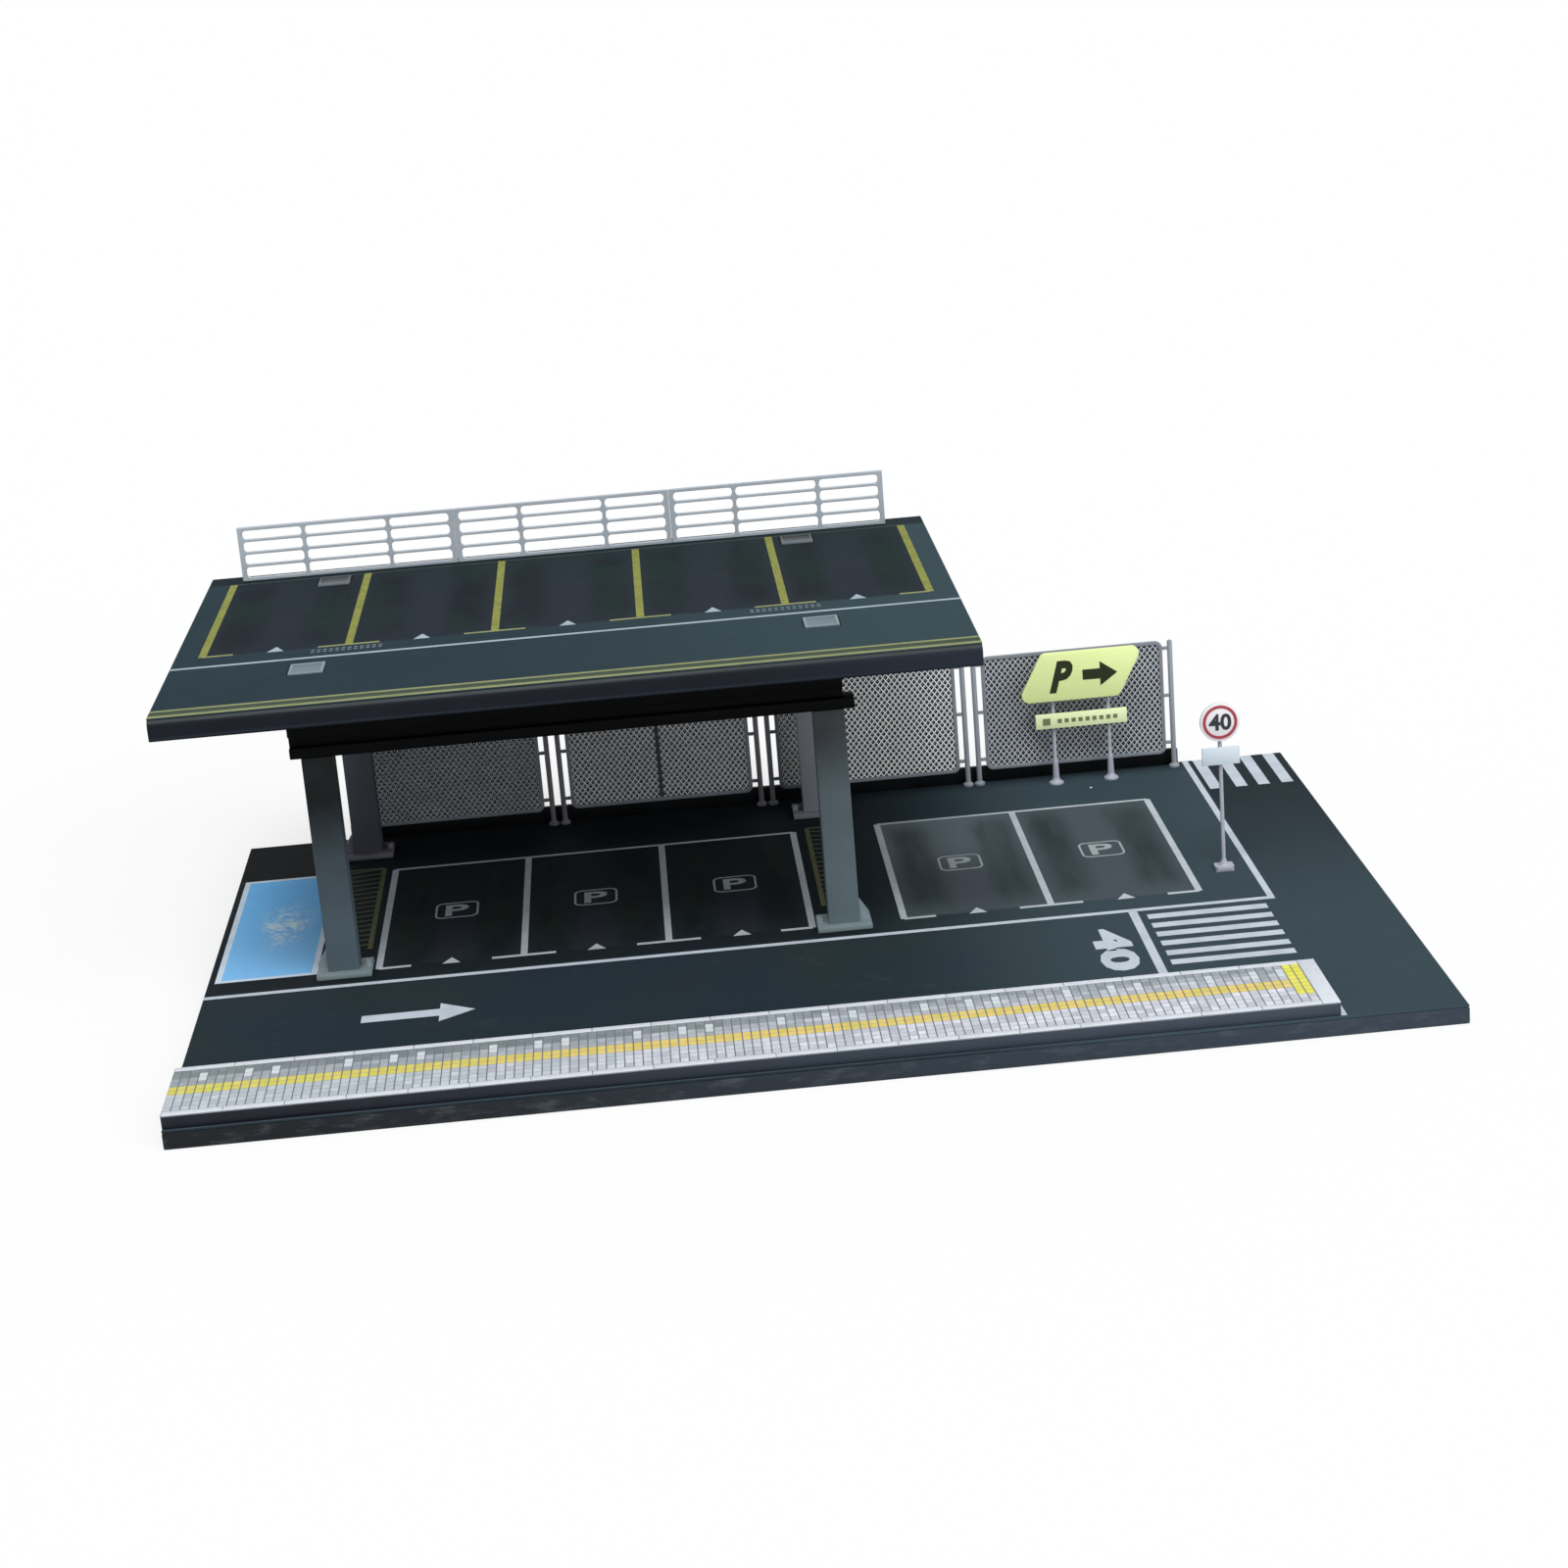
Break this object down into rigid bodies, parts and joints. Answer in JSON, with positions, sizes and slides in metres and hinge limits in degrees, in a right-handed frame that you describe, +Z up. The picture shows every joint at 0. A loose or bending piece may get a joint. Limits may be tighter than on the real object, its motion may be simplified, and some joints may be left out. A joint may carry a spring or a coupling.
{
  "type": "model parking garage",
  "caption": "Tabletop model car park: flat board with marked bays, pavement strip, mesh fence and signs, and a raised parking deck on steel-look columns that lifts off.",
  "frame": {"origin": "middle of the base board's underside, on the surface that the model stands on", "axes": "+X to the right along the road, +Y from the pavement towards the fence, +Z up"},
  "size_m": [0.3, 0.2, 0.1003],
  "materials": {
    "board_black": "rough sawn edge, near black",
    "lot_print": "printed asphalt film, satin",
    "walk_core": "smooth near black",
    "paving_print": "printed paving film, satin",
    "column_grey": "painted mid grey, satin",
    "beam_black": "near black, satin",
    "head_grey": "painted light grey",
    "deck_black": "near black, satin",
    "deck_print": "printed asphalt film, satin",
    "rail_grey": "painted light grey",
    "fence_grey": "painted silver grey",
    "sign_yellow": "printed yellow-green face",
    "pole_grey": "painted light grey",
    "sign_white": "printed white face"
  },
  "bodies": {
    "base": {"base_board": "board_black", "lot_sheet": "lot_print", "pavement_strip": "walk_core", "paving_sheet": "paving_print", "front_beam": "beam_black", "rear_beam": "beam_black", "fence_mid_bar": "fence_grey", "rear_strip": "board_black", "column_front_left": "column_grey", "foot_front_left": "column_grey", "head_front_left": "head_grey", "column_front_right": "column_grey", "foot_front_right": "column_grey", "head_front_right": "head_grey", "column_rear_left": "column_grey", "foot_rear_left": "column_grey", "head_rear_left": "head_grey", "column_rear_right": "column_grey", "foot_rear_right": "column_grey", "head_rear_right": "head_grey", "joist_1": "beam_black", "joist_2": "beam_black", "joist_3": "beam_black", "joist_4": "beam_black", "fence_post_1_left": "fence_grey", "fence_post_1_right": "fence_grey", "fence_frame_1": "fence_grey", "fence_net_1": "fence_grey", "fence_clips_1": "fence_grey", "fence_post_2_left": "fence_grey", "fence_post_2_right": "fence_grey", "fence_frame_2": "fence_grey", "fence_net_2": "fence_grey", "fence_clips_2": "fence_grey", "fence_post_3_left": "fence_grey", "fence_post_3_right": "fence_grey", "fence_frame_3": "fence_grey", "fence_net_3": "fence_grey", "fence_clips_3": "fence_grey", "fence_post_4_left": "fence_grey", "fence_post_4_right": "fence_grey", "fence_frame_4": "fence_grey", "fence_net_4": "fence_grey", "fence_clips_4": "fence_grey"},
    "deck": {"deck_slab": "deck_black", "deck_sheet": "deck_print", "guard_rail_1": "rail_grey", "guard_rail_2": "rail_grey", "guard_rail_3": "rail_grey"},
    "parking_sign": {"parking_sign_board": "sign_yellow", "parking_sign_plate": "sign_yellow", "parking_sign_pole_left": "pole_grey", "parking_sign_pole_right": "pole_grey"},
    "speed_sign": {"speed_sign_disc": "sign_white", "speed_sign_plate": "sign_white", "speed_sign_pole": "pole_grey"}
  },
  "joints": [
    {"name": "deck_lift", "type": "slide", "parent": "base", "child": "deck", "axis": [0, 0, 1], "range_m": [0, 0.04]},
    {"name": "parking_sign_lift", "type": "slide", "parent": "base", "child": "parking_sign", "axis": [0, 0, 1], "range_m": [0, 0.012]},
    {"name": "speed_sign_lift", "type": "slide", "parent": "base", "child": "speed_sign", "axis": [0, 0, 1], "range_m": [0, 0.012]}
  ]
}
